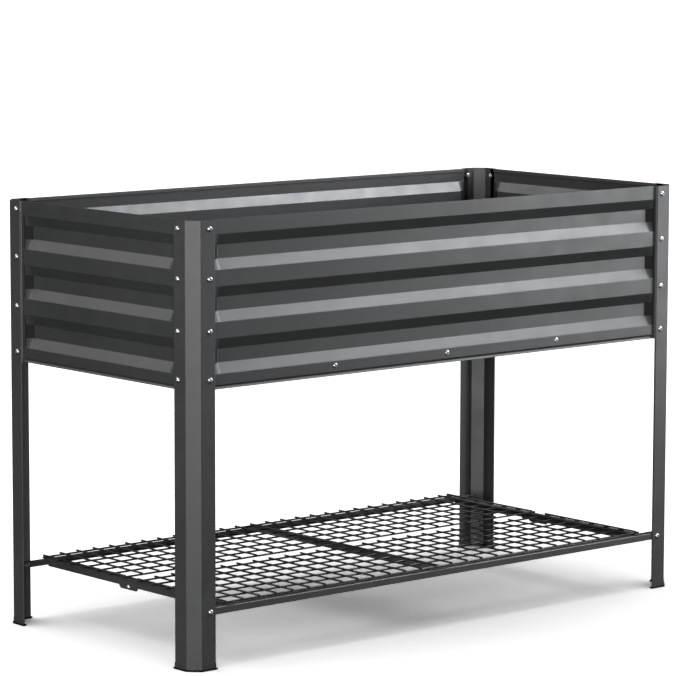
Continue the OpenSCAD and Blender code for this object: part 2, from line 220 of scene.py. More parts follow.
@dataclass
class Sheet:
    """A folded sheet: one outer line, a thickness and the side it lies on."""

    line: list[Point]
    thickness: float
    side: Side

    def sweep(self, maker: MeshMaker, low: float, high: float, place, slot: int = 0):
        """Sweeps the sheet's section straight from low to high.

        Args:
            maker: Where the shell goes.
            low: Start along the sweep.
            high: End along the sweep.
            place: Turns (a, b, along) into a place in the model.
            slot: Material slot.
        """
        inner = offset_line(self.line, self.thickness, self.side)
        count = len(self.line)
        verts: list[Place] = []
        for along in (low, high):
            verts += [place(a, b, along) for a, b in self.line]
            verts += [place(a, b, along) for a, b in inner]
        faces: list[tuple[int, ...]] = []
        top = 2 * count
        for i in range(count - 1):
            j = i + 1
            faces.append((i, j, top + j, top + i))
            faces.append((count + j, count + i, top + count + i, top + count + j))
            faces.append((j, i, count + i, count + j))
            faces.append((top + i, top + j, top + count + j, top + count + i))
        last = count - 1
        faces.append((count, 0, top, top + count))
        faces.append((last, count + last, top + count + last, top + last))
        if not right_handed(place, self.side):
            faces = [tuple(reversed(f)) for f in faces]
        maker.add(verts, faces, slot)


def right_handed(place, side: Side) -> bool:
    """Tells whether a swept sheet's faces already look outward.

    Args:
        place: Turns (a, b, along) into a place in the model.
        side: The side of the line that the sheet lies on.

    Returns:
        True if the faces keep their order.
    """
    origin = Vector(place(0.0, 0.0, 0.0))
    a = Vector(place(1.0, 0.0, 0.0)) - origin
    b = Vector(place(0.0, 1.0, 0.0)) - origin
    along = Vector(place(0.0, 0.0, 1.0)) - origin
    return (a.cross(b).dot(along) > 0) == (side is Side.LEFT)


def circle(centre: Vector, across: Vector, up: Vector, radius, around: int) -> list[Place]:
    """One ring of points about a centre.

    Args:
        centre: Middle of the ring.
        across: Direction in which the ring starts.
        up: Direction of the ring a quarter turn on.
        radius: A radius, or a function of the angle that gives one.
        around: Number of points.

    Returns:
        The points, in order round the ring.
    """
    points = []
    for k in range(around):
        t = 2 * math.pi * k / around
        r = radius(t) if callable(radius) else radius
        points.append(tuple(centre + (across * math.cos(t) + up * math.sin(t)) * r))
    return points


def ring_shell(
    rings: list[list[Place]], closed_ends: bool = True
) -> tuple[list[Place], list[tuple[int, ...]]]:
    """Skins a row of rings that all have the same number of points.

    Args:
        rings: The rings, from one end to the other.
        closed_ends: Whether the first and last ring get a cap.

    Returns:
        Vertices and faces of the shell.
    """
    around = len(rings[0])
    verts = [p for ring in rings for p in ring]
    faces: list[tuple[int, ...]] = []
    for r in range(len(rings) - 1):
        for i in range(around):
            j = (i + 1) % around
            a, b = r * around, (r + 1) * around
            faces.append((a + i, a + j, b + j, b + i))
    if closed_ends:
        faces.append(tuple(reversed(range(around))))
        faces.append(tuple(range((len(rings) - 1) * around, len(rings) * around)))
    return verts, faces


def solid_boxes(node: str) -> list[tuple[Vector, Vector]]:
    """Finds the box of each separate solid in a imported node.

    Args:
        node: Name of the node.

    Returns:
        Lowest and highest corner of each solid, in a steady order.
    """
    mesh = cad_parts[node].data
    home: dict[tuple[int, int, int], int] = {}
    point_of = []
    for v in mesh.vertices:
        key = tuple(round(c * 2e4) for c in v.co)
        point_of.append(home.setdefault(key, len(home)))
    parent = list(range(len(home)))

    def root(i: int) -> int:
        """The first point of the solid that a point is in."""
        while parent[i] != i:
            parent[i] = parent[parent[i]]
            i = parent[i]
        return i

    for edge in mesh.edges:
        a, b = (root(point_of[v]) for v in edge.vertices)
        if a != b:
            parent[a] = b
    groups: dict[int, list[Vector]] = {}
    for v in mesh.vertices:
        groups.setdefault(root(point_of[v.index]), []).append(v.co)
    boxes = []
    for points in groups.values():
        low = Vector([min(p[k] for p in points) for k in range(3)])
        high = Vector([max(p[k] for p in points) for k in range(3)])
        boxes.append((low, high))
    return sorted(boxes, key=lambda b: tuple(round(c, 4) for c in b[0]))


# ------------------------------------------------------------------- finishes


@dataclass
class NodeTree:
    """A material's node tree, with short ways to add and join nodes."""

    material: bpy.types.Material

    @classmethod
    def new(cls, name: str) -> "NodeTree":
        """Makes an empty material that holds one Principled shader."""
        material = bpy.data.materials.new(name)
        material.use_nodes = True
        return cls(material)

    @property
    def shader(self) -> bpy.types.Node:
        """The Principled shader."""
        return self.material.node_tree.nodes["Principled BSDF"]

    def add(self, kind: str, **values) -> bpy.types.Node:
        """Adds a node.

        Args:
            kind: The node's type.
            **values: Attributes, or inputs by name with underscores for spaces.

        Returns:
            The new node.
        """
        node = self.material.node_tree.nodes.new(kind)
        for key, value in values.items():
            if hasattr(node, key):
                setattr(node, key, value)
            else:
                node.inputs[key.replace("_", " ")].default_value = value
        return node

    def join(self, source: bpy.types.NodeSocket, target: bpy.types.NodeSocket) -> None:
        """Links an output to an input."""
        self.material.node_tree.links.new(source, target)

    def noise(
        self, scale: float, detail: float = 2.0, roughness: float = 0.5
    ) -> bpy.types.NodeSocket:
        """Adds noise in the object's own space and returns its value."""
        if "place" not in self.material.node_tree.nodes:
            self.add("ShaderNodeTexCoord", name="place")
        place = self.material.node_tree.nodes["place"]
        node = self.add(
            "ShaderNodeTexNoise", Scale=scale, Detail=detail, Roughness=roughness
        )
        self.join(place.outputs["Object"], node.inputs["Vector"])
        return node.outputs["Fac"]

    def ranged(
        self, source: bpy.types.NodeSocket, low: float, high: float, to: Point
    ) -> bpy.types.NodeSocket:
        """Maps a value from low..high to the two numbers in to."""
        node = self.add("ShaderNodeMapRange")
        node.inputs["From Min"].default_value = low
        node.inputs["From Max"].default_value = high
        node.inputs["To Min"].default_value = to[0]
        node.inputs["To Max"].default_value = to[1]
        self.join(source, node.inputs["Value"])
        return node.outputs["Result"]

    def math(
        self, operation: str, a: bpy.types.NodeSocket, b: bpy.types.NodeSocket | float
    ) -> bpy.types.NodeSocket:
        """Combines two values with one operation."""
        node = self.add("ShaderNodeMath", operation=operation)
        self.join(a, node.inputs[0])
        if isinstance(b, float):
            node.inputs[1].default_value = b
        else:
            self.join(b, node.inputs[1])
        return node.outputs["Value"]

    def mix(
        self,
        factor: bpy.types.NodeSocket,
        a: bpy.types.NodeSocket | Colour,
        b: bpy.types.NodeSocket | Colour,
    ) -> bpy.types.NodeSocket:
        """Mixes two colours by a factor."""
        node = self.add("ShaderNodeMix", data_type="RGBA")
        self.join(factor, node.inputs["Factor"])
        for value, socket in ((a, node.inputs[6]), (b, node.inputs[7])):
            if isinstance(value, tuple):
                socket.default_value = (*value, 1.0)
            else:
                self.join(value, socket)
        return node.outputs[2]

    def patchy(self, source: bpy.types.NodeSocket, low: float, high: float) -> None:
        """Lets the shader's roughness wander between two values."""
        self.join(self.ranged(source, 0.3, 0.7, (low, high)), self.shader.inputs["Roughness"])

    def bump(
        self,
        height: bpy.types.NodeSocket,
        distance: float,
        strength: float,
        below: bpy.types.NodeSocket | None = None,
    ) -> bpy.types.NodeSocket:
        """Adds a bump over another one and returns its normal."""
        node = self.add("ShaderNodeBump", Distance=distance, Strength=strength)
        self.join(height, node.inputs["Height"])
        if below is not None:
            self.join(below, node.inputs["Normal"])
        return node.outputs["Normal"]


@dataclass(frozen=True)
class PowderCoat:
    """Satin powder coat on sheet steel: orange peel, faint clouding, thin edges."""

    name: str
    colour: Colour
    edge_colour: Colour
    roughness: float = 0.42
    specular: float = 0.65
    peel: float = 0.3
    dust: float = 0.02

    def material(self) -> bpy.types.Material:
        """Builds the material."""
        tree = NodeTree.new(self.name)
        cloud = tree.noise(3.2, 4.0)
        speck = tree.noise(1700.0, 1.0)
        darker = tuple(c * 0.86 for c in self.colour)
        lighter = tuple(c * 1.16 for c in self.colour)
        body = tree.mix(tree.ranged(cloud, 0.3, 0.7, (0.0, 1.0)), darker, lighter)
        grain = tree.mix(tree.ranged(speck, 0.62, 0.72, (0.0, 0.35)), body, lighter)
        geometry = tree.add("ShaderNodeNewGeometry")
        edge = tree.ranged(geometry.outputs["Pointiness"], 0.52, 0.6, (0.0, 0.7))
        worn = tree.mix(edge, grain, self.edge_colour)
        split = tree.add("ShaderNodeSeparateXYZ")
        tree.join(geometry.outputs["Normal"], split.inputs[0])
        upward = tree.ranged(split.outputs["Z"], 0.35, 1.0, (0.0, 1.0))
        patches = tree.ranged(tree.noise(14.0, 5.0, 0.6), 0.35, 0.75, (0.0, self.dust))
        dusty = tree.mix(tree.math("MULTIPLY", upward, patches), worn, (0.3, 0.29, 0.27))
        tree.join(dusty, tree.shader.inputs["Base Color"])
        tree.patchy(tree.noise(26.0, 3.0), self.roughness - 0.04, self.roughness + 0.05)
        wave = tree.bump(tree.noise(9.0, 1.0), 0.0006, 0.25)
        fine = tree.bump(tree.noise(650.0, 2.0), 0.00006, self.peel, wave)
        tree.join(fine, tree.shader.inputs["Normal"])
        tree.shader.inputs["Specular IOR Level"].default_value = self.specular
        return tree.material


@dataclass(frozen=True)
class ZincPlate:
    """Bright zinc plating on a turned fastener."""

    name: str
    colour: Colour = (0.6, 0.61, 0.63)
    roughness: float = 0.24

    def material(self) -> bpy.types.Material:
        """Builds the material."""
        tree = NodeTree.new(self.name)
        tint = tree.ranged(tree.noise(180.0, 3.0), 0.3, 0.7, (0.0, 1.0))
        warm = tuple(c * f for c, f in zip(self.colour, (0.93, 0.9, 0.82)))
        tree.join(tree.mix(tint, self.colour, warm), tree.shader.inputs["Base Color"])
        tree.patchy(tree.noise(900.0, 2.0), self.roughness, self.roughness + 0.16)
        marks = tree.bump(tree.noise(1500.0, 2.0), 0.00003, 0.4)
        tree.join(marks, tree.shader.inputs["Normal"])
        tree.shader.inputs["Metallic"].default_value = 1.0
        return tree.material


@dataclass(frozen=True)
class MouldedPlastic:
    """Matt moulded plastic with a fine spark-eroded grain."""

    name: str
    colour: Colour
    roughness: float = 0.55
    specular: float = 0.35

    def material(self) -> bpy.types.Material:
        """Builds the material."""
        tree = NodeTree.new(self.name)
        scuff = tree.ranged(tree.noise(70.0, 5.0, 0.65), 0.55, 0.8, (0.0, 0.5))
        pale = tuple(min(1.0, c * 2.2 + 0.01) for c in self.colour)
        tree.join(tree.mix(scuff, self.colour, pale), tree.shader.inputs["Base Color"])
        tree.patchy(tree.noise(220.0, 2.0), self.roughness - 0.06, self.roughness + 0.08)
        grain = tree.bump(tree.noise(1900.0, 3.0), 0.00008, 0.5)
        tree.join(grain, tree.shader.inputs["Normal"])
        tree.shader.inputs["Specular IOR Level"].default_value = self.specular
        return tree.material


@dataclass(frozen=True)
class StudioPaper:
    """The pale floor: matt, with the faintest mottling."""

    name: str = "studio_paper"
    colour: Colour = (2.2, 2.2, 2.2)

    def material(self) -> bpy.types.Material:
        """Builds the material."""
        tree = NodeTree.new(self.name)
        shade = tree.ranged(tree.noise(0.9, 3.0), 0.3, 0.7, (0.0, 1.0))
        low = tuple(c * 0.99 for c in self.colour)
        paper = tree.add("ShaderNodeBsdfDiffuse")
        tree.join(tree.mix(shade, low, self.colour), paper.inputs["Color"])
        output = tree.material.node_tree.nodes["Material Output"]
        tree.join(paper.outputs["BSDF"], output.inputs["Surface"])
        return tree.material


@dataclass
class Finishes:
    """All the finishes of the planter, each made once."""

    paint: bpy.types.Material
    dark_paint: bpy.types.Material
    groove_end: bpy.types.Material
    wire_coat: bpy.types.Material
    zinc: bpy.types.Material
    sole: bpy.types.Material
    cap_wall: bpy.types.Material

    @classmethod
    def make(cls) -> "Finishes":
        """Makes every material."""
        return cls(
            paint=PowderCoat(
                "charcoal_powder_coat", (0.03, 0.031, 0.031), (0.06, 0.06, 0.06)
            ).material(),
            # A darker copy of the charcoal coat for the shelf's bars and rivets; the extra
            # darkness is painted shade for the shadow the meshes cast on them.
            dark_paint=PowderCoat(
                "shelf_powder_coat_painted_shade",
                (0.02, 0.0205, 0.0205),
                (0.045, 0.045, 0.045),
                roughness=0.45,
            ).material(),
            # Near-black coat for the sloping ends of the grooves: painted shade standing in for
            # the deep shadow in them.
            groove_end=PowderCoat(
                "groove_end_powder_coat",
                (0.01, 0.01, 0.01),
                (0.02, 0.02, 0.02),
                roughness=0.5,
                specular=0.15,
            ).material(),
            wire_coat=PowderCoat(
                "wire_powder_coat",
                (0.012, 0.012, 0.012),
                (0.03, 0.03, 0.03),
                roughness=0.4,
                peel=0.2,
            ).material(),
            zinc=ZincPlate("bright_zinc").material(),
            sole=MouldedPlastic(
                "sole_plastic", (0.005, 0.005, 0.005), 0.6, 0.12
            ).material(),
            cap_wall=MouldedPlastic(
                "cap_wall_plastic", (0.03, 0.031, 0.031), 0.42, 0.65
            ).material(),
        )


def dress(
    obj: bpy.types.Object, materials: list[bpy.types.Material], slot: str, *nodes: str
) -> None:
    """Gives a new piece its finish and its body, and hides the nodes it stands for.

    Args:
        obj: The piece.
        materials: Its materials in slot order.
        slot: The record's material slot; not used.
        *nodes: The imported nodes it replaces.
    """
    for material in materials:
        obj.data.materials.append(material)
    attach(obj, "root")
    if nodes:
        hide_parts(*nodes)


def redress(node: str, material: bpy.types.Material, soft: float) -> None:
    """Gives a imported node, kept as it is, its finish and rounded edges.

    Args:
        node: Name of the node.
        material: Its finish.
        soft: Width of the rounding along its edges.
    """
    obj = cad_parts[node]
    obj.data.materials.clear()
    obj.data.materials.append(material)
    soften_edges(obj, soft)


# ----------------------------------------------------------------- the pieces


@dataclass
class Legs:
    """Four folded corner legs and the caps on their feet."""

    chamfer: float = 20 * MM
    sheet: float = 1.46 * MM
    hem_back: float = 3 * MM
    hem_width: float = 16 * MM
    fold: float = 1.4 * MM
    chamfer_bend: float = 3.0 * MM
    sole_in: float = 4.5 * MM
    tread: float = 1.0 * MM
    sole_bend: float = 4 * MM
    wall_out: float = 0.6 * MM
    wall_thickness: float = 0.564 * MM
    wall_bend: float = 3.6 * MM
    wall_sink: float = 0.2 * MM

    def corner_line(self, end: float, out: float) -> list[Point]:
        """The line round the outside of a leg, moved outward.

        Args:
            end: How far from the corner the line ends on each side.
            out: How far outside the leg the line runs.

        Returns:
            Points with the leg's outer corner at (0, 0).
        """
        c = self.chamfer - math.tan(math.pi / 8) * out
        return [(-out, end), (-out, c), (c, -out), (end, -out)]

    def leg(self, corner: Corner, finishes: Finishes) -> None:
        """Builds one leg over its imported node."""
        node = f"leg_{corner.label}"
        low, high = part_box(node)
        span = high[0] - low[0]
        hem_end, back = span - self.hem_width, self.hem_back
        fold, bend = self.fold, self.chamfer_bend
        outline = [(back, hem_end), (back, span), *self.corner_line(span, 0.0)]
        outline += [(span, back), (hem_end, back)]
        line = rounded_line(outline, [0, fold, fold, bend, bend, fold, fold, 0], 6)
        maker = MeshMaker()
        Sheet(line, self.sheet, Side.LEFT).sweep(
            maker, low[2], high[2], self.placer(corner, low, high)
        )
        made = maker.finish(f"{node}_steel")
        soften_edges(made, 0.35 * MM)
        dress(made, [finishes.paint], "painted_steel", node)

    def placer(self, corner: Corner, low: Place, high: Place):
        """Returns the way from a leg's own section to its place at a corner."""
        sx, sy = corner.value
        x0 = high[0] if sx > 0 else low[0]
        y0 = high[1] if sy > 0 else low[1]

        def place(a: float, b: float, along: float) -> Place:
            """Puts a point of the section at its corner and height."""
            return (x0 - sx * a, y0 - sy * b, along)

        return place

    def cap(self, corner: Corner, finishes: Finishes) -> None:
        """Builds one foot cap: a sole with a stepped tread and a thin wall round the leg."""
        node = f"foot_cap_{corner.label}"
        low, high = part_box(node)
        leg_low, leg_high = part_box(f"leg_{corner.label}")
        span = leg_high[0] - leg_low[0]
        out = high[0] - leg_high[0] if corner.value[0] > 0 else leg_low[0] - low[0]
        place = self.placer(corner, leg_low, leg_high)
        maker = MeshMaker()
        tread_top = low[2] + self.tread
        bend = self.sole_bend
        for widen, bottom, top in (
            (out, tread_top, leg_low[2]),
            (out - self.tread, low[2], tread_top),
        ):
            line = rounded_line(self.corner_line(span + widen, widen), [0, bend, bend, 0], 6)
            Sheet(line, widen + self.sole_in, Side.LEFT).sweep(maker, bottom, top, place)
        bend = self.wall_bend
        wall = rounded_line(self.corner_line(span, self.wall_out), [0, bend, bend, 0], 6)
        Sheet(wall, self.wall_thickness, Side.LEFT).sweep(
            maker, leg_low[2] - self.wall_sink, high[2], place, 1
        )
        made = maker.finish(f"{node}_moulding")
        soften_edges(made, 0.25 * MM)
        dress(made, [finishes.sole, finishes.cap_wall], "foot_plastic", node)

    def build(self, finishes: Finishes) -> None:
        """Builds the legs and their caps."""
        for corner in Corner:
            self.leg(corner, finishes)
            self.cap(corner, finishes)
            LOG.info("leg and foot cap %s", corner.label)


def eased(x: float, ease: float = 0.12) -> float:
    """Keeps a value between 0 and 1, with its two corners rounded off.

    Args:
        x: The value.
        ease: How far on each side of a corner the rounding reaches.

    Returns:
        A smooth value from 0 to 1.
    """
    near_low = max(ease - abs(x), 0.0)
    raised = max(x, 0.0) + near_low**2 / ease / 4
    near_high = max(ease - abs(raised - 1.0), 0.0)
    return min(raised, 1.0) - near_high**2 / ease / 4


@dataclass
class BedPanels:
    """The walls of the bed: pressed grooves, closed at both ends, and stepped margins."""

    face: float = 8 * MM
    groove: float = 10 * MM
    runs: tuple[float, float] = (15 * MM, 17.5 * MM)
    margins: tuple[float, float] = (1.8 * MM, 3 * MM)
    sheet: float = 1.35 * MM
    hem_width: float = 2.8 * MM
    hem_drop: float = 6 * MM
    hem_bend: float = 1.2 * MM
    groove_bend: float = 3 * MM
    step_bend: float = 0.9 * MM
    crease: tuple[float, float, float] = (4.5 * MM, 8.5 * MM, 2 * MM)
    crease_bends: tuple[float, float] = (1.6 * MM, 2.0 * MM)
    share: tuple[float, float, float, float] = (27.0, 19.5, 25.2, 28.7)
    share_of: float = 303.5
    end_levels: tuple[float, ...] = (
        -0.05, 0.0, 0.06, 0.13, 0.25, 0.4, 0.55, 0.7, 0.85, 0.94, 1.0, 1.06, 1.15
    )
    # How far the painted shade of a groove's end spills past its slope.
    end_spill: float = 0.06

    def rows(self, low: float, high: float) -> list[tuple[float, float, bool]]:
        """The levels of a panel's skin, from the bottom up.

        Args:
            low: Height of its bottom edge.
            high: Height of its top edge.

        Returns:
            For each level its push inward, its height and whether a groove makes it.
        """
        unit = (high - low) / self.share_of
        bottom, slope, recess, flat = (s * unit for s in self.share)
        crease_low, crease_high, crease_deep = self.crease
        points: list[Point] = [
            (0.0, low),
            (crease_deep, low + crease_low),
            (0.0, low + crease_high),
        ]
        radii = [0.0, *self.crease_bends]
        at = low + bottom
        for _ in range(3):
            points += [
                (0.0, at),
                (self.groove, at + slope),
                (self.groove, at + slope + recess),
                (0.0, at + 2 * slope + recess),
            ]
            radii += [self.groove_bend] * 4
            at += 2 * slope + recess + flat
        points.append((0.0, high))
        radii.append(0.0)
        grooves_start = low + bottom * 0.5
        return [(d, z, z > grooves_start) for d, z in rounded_line(points, radii, 5)]

    def columns(
        self, half: float, edge: float, margin: float, end: tuple[float, float]
    ) -> list[tuple[float, float, float]]:
        """The upright lines of a panel's skin, from its left end to its right end.

        Args:
            half: Half the length of the panel.
            edge: Distance from the middle to the edge of a leg.
            margin: Depth of the margins behind the outer faces of the legs.
            end: Distance from the edge of a leg to a groove's mouth, and how long the
                slope at a groove's end is.

        Returns:
            For each line its place, its depth, and the depth a groove may have there
            as a share of the full depth.
        """
        bend = self.step_bend
        outline = [(half, margin), (edge, margin), (edge, self.face), (edge - 2 * bend, self.face)]
        step = rounded_line(outline, [0, bend, bend, 0], 4)[:-1]
        mouth, run = edge - end[0], end[1]
        right = [(u, depth, -1.0) for u, depth in step]
        right += [(mouth - share * run, self.face, share) for share in self.end_levels]
        left = [(-u, depth, share) for u, depth, share in right]
        return left + list(reversed(right))

    def skin(self, rows, columns) -> list[tuple[float, float, float]]:
        """Works out every point of the skin, level by level.

        Args:
            rows: What rows() returns.
            columns: What columns() returns.

        Returns:
            The points, each as its place along the wall, its depth and its height.
        """
        points = []
        for push, height, in_groove in rows:
            for along, depth, share in columns:
                inward = push if share > -1.0 else 0.0
                if in_groove and inward > 0:
                    inward = push * eased(share * self.groove / push)
                points.append((along, depth + inward, height))
        return points

    def quads(self, rows, columns, flip: bool) -> tuple[list[tuple[int, ...]], list[int]]:
        """Joins the points of the skin into faces.

        Args:
            rows: What rows() returns.
            columns: What columns() returns.
            flip: Whether the faces turn round to look outward.

        Returns:
            The faces, and for each its slot: 1 on the sloping end of a groove, which takes the
                painted shade, else 0.
        """
        faces, slots = [], []
        across = len(columns)
        for r in range(len(rows) - 1):
            pushes = (rows[r][0], rows[r + 1][0])
            in_groove = rows[r][2] and max(pushes) > 1 * MM
            # Faces of a groove's sloping end, and a little past it, get slot 1: the painted shade.
            reach = max(min(pushes) / self.groove, 0.1) + self.end_spill
            for c in range(across - 1):
                a = r * across + c
                face = (a, a + 1, a + across + 1, a + across)
                shares = (columns[c][2], columns[c + 1][2])
                faces.append(tuple(reversed(face)) if flip else face)
                slots.append(int(in_groove and min(shares) > -0.02 and max(shares) < reach))
        return faces, slots

    def panel(self, wall: Wall, finishes: Finishes) -> None:
        """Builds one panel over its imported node."""
        node = f"{wall.label}_panel"
        low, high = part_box(node)
        leg_low, leg_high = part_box(f"leg_{Corner.FRONT_LEFT.label}")
        sx, sy = wall.value
        axis = 1 if sy else 0
        sign = sy or sx
        outer = abs(leg_low[axis])
        edge = abs(leg_high[1 - axis])
        margin = outer - max(abs(low[axis]), abs(high[axis]))
        flange = outer - min(abs(low[axis]), abs(high[axis]))

        def place(a: float, b: float, along: float) -> Place:
            """Puts a point given as depth, height and place along on this wall."""
            inward = sign * (outer - a)
            return (along, inward, b) if axis == 1 else (inward, along, b)

        rows = self.rows(low[2], high[2])
        end = (self.margins[1 - axis], self.runs[1 - axis])
        columns = self.columns(high[1 - axis], edge, margin, end)
        verts = [place(depth, height, along) for along, depth, height in self.skin(rows, columns)]
        faces, slots = self.quads(rows, columns, not right_handed(place, Side.RIGHT))
        maker = MeshMaker(verts, faces, slots)
        made = maker.finish(f"{node}_steel", 60.0)
        thick = made.modifiers.new("sheet", "SOLIDIFY")
        thick.thickness = self.sheet
        thick.offset = -1.0
        thick.use_even_offset = True
        soften_edges(made, 0.3 * MM, 70.0)
        # The second material paints shade onto the grooves' sloping ends.
        dress(made, [finishes.paint, finishes.groove_end], "painted_steel", node)
        self.edges(node, place, (low[2], high[2]), (edge, flange), finishes)

    def edges(
        self, node: str, place, levels: Point, reach: Point, finishes: Finishes
    ) -> None:
        """Builds the hem along a panel's top and the flange along its bottom.

        Args:
            node: The panel's node.
            place: Turns (depth, height, along) into a place in the model.
            levels: Height of the panel's bottom and top.
            reach: Half the length of the hem and flange, and the depth of the flange.
            finishes: The finishes.
        """
        (bottom, top), (half, flange) = levels, reach
        start, back = self.face + self.sheet * 0.6, self.face + self.hem_width
        hem = rounded_line(
            [(start, top), (back, top), (back, top - self.hem_drop)], [0, self.hem_bend, 0], 5
        )
        maker = MeshMaker()
        Sheet(hem, self.sheet, Side.RIGHT).sweep(maker, -half, half, place)
        shelf = [(flange, bottom), (start, bottom)]
        Sheet(shelf, self.sheet, Side.RIGHT).sweep(maker, -half, half, place)
        made = maker.finish(f"{node}_hems")
        soften_edges(made, 0.25 * MM)
        dress(made, [finishes.paint], "painted_steel")

    def build(self, finishes: Finishes) -> None:
        """Builds the four panels."""
        for wall in Wall:
            self.panel(wall, finishes)
            LOG.info("%s panel", wall.label)


@dataclass
class BedFloor:
    """Braces and floor plates inside the bed, kept as packed."""

    braces: tuple[str, ...] = ("left", "middle", "right")
    plates: int = 4

    def build(self, finishes: Finishes) -> None:
        """Dresses the braces and the plates."""
        for name in self.braces:
            redress(f"floor_brace_{name}", finishes.paint, 0.4 * MM)
        for number in range(1, self.plates + 1):
            redress(f"floor_plate_{number}", finishes.paint, 0.35 * MM)
        LOG.info("bed floor: %d braces and %d plates", len(self.braces), self.plates)


@dataclass
class Shelf:
    """Rails, cross bars and the two welded wire meshes."""

    rail_sheet: float = 1.5 * MM
    rail_bend: float = 2.2 * MM
    wire: float = 3.8 * MM
    cells: int = 27
    rows: int = 6
    stub: float = 5 * MM
    end_stub: float = 12 * MM
    around: int = 12
    wire_end: tuple[Point, ...] = ((0.0, 0.62), (0.12, 0.88), (0.35, 1.0))
    nugget: tuple[Point, ...] = ((-0.55, 0.45), (-0.25, 0.85), (0.15, 0.9), (0.5, 0.5))

    def rail(self, name: str, finishes: Finishes) -> None:
        """Builds one rail as a bent angle."""
        node = f"shelf_rail_{name}"
        low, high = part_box(node)
        sign = -1 if name == "front" else 1
        face = low[1] if sign < 0 else high[1]
        depth = high[1] - low[1]
        line = rounded_line(
            [(0.0, low[2]), (0.0, high[2]), (depth, high[2])], [0, self.rail_bend, 0], 6
        )

        def place(a: float, b: float, along: float) -> Place:
            """Puts a point of the section on this rail."""
            return (along, face - sign * a, b)

        maker = MeshMaker()
        Sheet(line, self.rail_sheet, Side.RIGHT).sweep(maker, low[0], high[0], place)
        made = maker.finish(f"{node}_steel")
        soften_edges(made, 0.35 * MM)
        dress(made, [finishes.paint], "painted_steel", node)

    def rod(self, maker: MeshMaker, start: Vector, end: Vector) -> None:
        """Adds one wire with slightly rounded ends.

        Args:
            maker: Where the wire goes.
            start: Centre of one end.
            end: Centre of the other end.
        """
        along = (end - start).normalized()
        across = along.cross(Z_AXIS).normalized()
        radius = self.wire / 2
        reach = (end - start).length / radius
        far = tuple((reach - at, share) for at, share in reversed(self.wire_end))
        rings = [
            circle(start + along * at * radius, across, Z_AXIS, radius * share, self.around)
            for at, share in self.wire_end + far
        ]
        maker.add(*ring_shell(rings))

    def weld(self, maker: MeshMaker, centre: Vector) -> None:
        """Adds the small squeezed-out nugget at a crossing."""
        rings = [
            circle(
                centre + Z_AXIS * height * self.wire * 0.6,
                X_AXIS,
                Y_AXIS,
                self.wire * 0.72 * width,
                8,
            )
            for height, width in self.nugget
        ]
        maker.add(*ring_shell(rings))

    def mesh(self, name: str, finishes: Finishes) -> None:
        """Builds one welded mesh wire by wire."""
        node = f"shelf_mesh_{name}"
        low, high = (Vector(p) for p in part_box(node))
        low_z = low.z + self.wire / 2
        high_z = high.z - self.wire / 2
        maker = MeshMaker()
        ys = [
            low.y + self.stub + (high.y - low.y - 2 * self.stub) * r / self.rows
            for r in range(self.rows + 1)
        ]
        first = low.x + self.stub
        xs = [first - 2 * first * c / self.cells for c in range(self.cells)]
        xs.append(high.x - self.end_stub)
        for y in ys:
            self.rod(maker, Vector((low.x, y, low_z)), Vector((high.x, y, low_z)))
        for x in xs:
            self.rod(maker, Vector((x, low.y, high_z)), Vector((x, high.y, high_z)))
            for y in ys:
                self.weld(maker, Vector((x, y, (low_z + high_z) / 2)))
        made = maker.finish(f"{node}_wires", 60.0)
        dress(made, [finishes.wire_coat], "coated_wire", node)
        LOG.info("%s mesh: %d wires", name, len(xs) + len(ys))

    def build(self, finishes: Finishes) -> None:
        """Builds the shelf."""
        for name in ("front", "back"):
            self.rail(name, finishes)
            self.mesh(name, finishes)
            for end in ("left", "right"):
                # The bars take the darker coat, painted shade for the meshes' shadow.
                redress(f"shelf_end_bar_{end}_{name}", finishes.dark_paint, 0.45 * MM)
        redress("shelf_centre_bar", finishes.dark_paint, 0.45 * MM)
        LOG.info("shelf rails and cross bars")


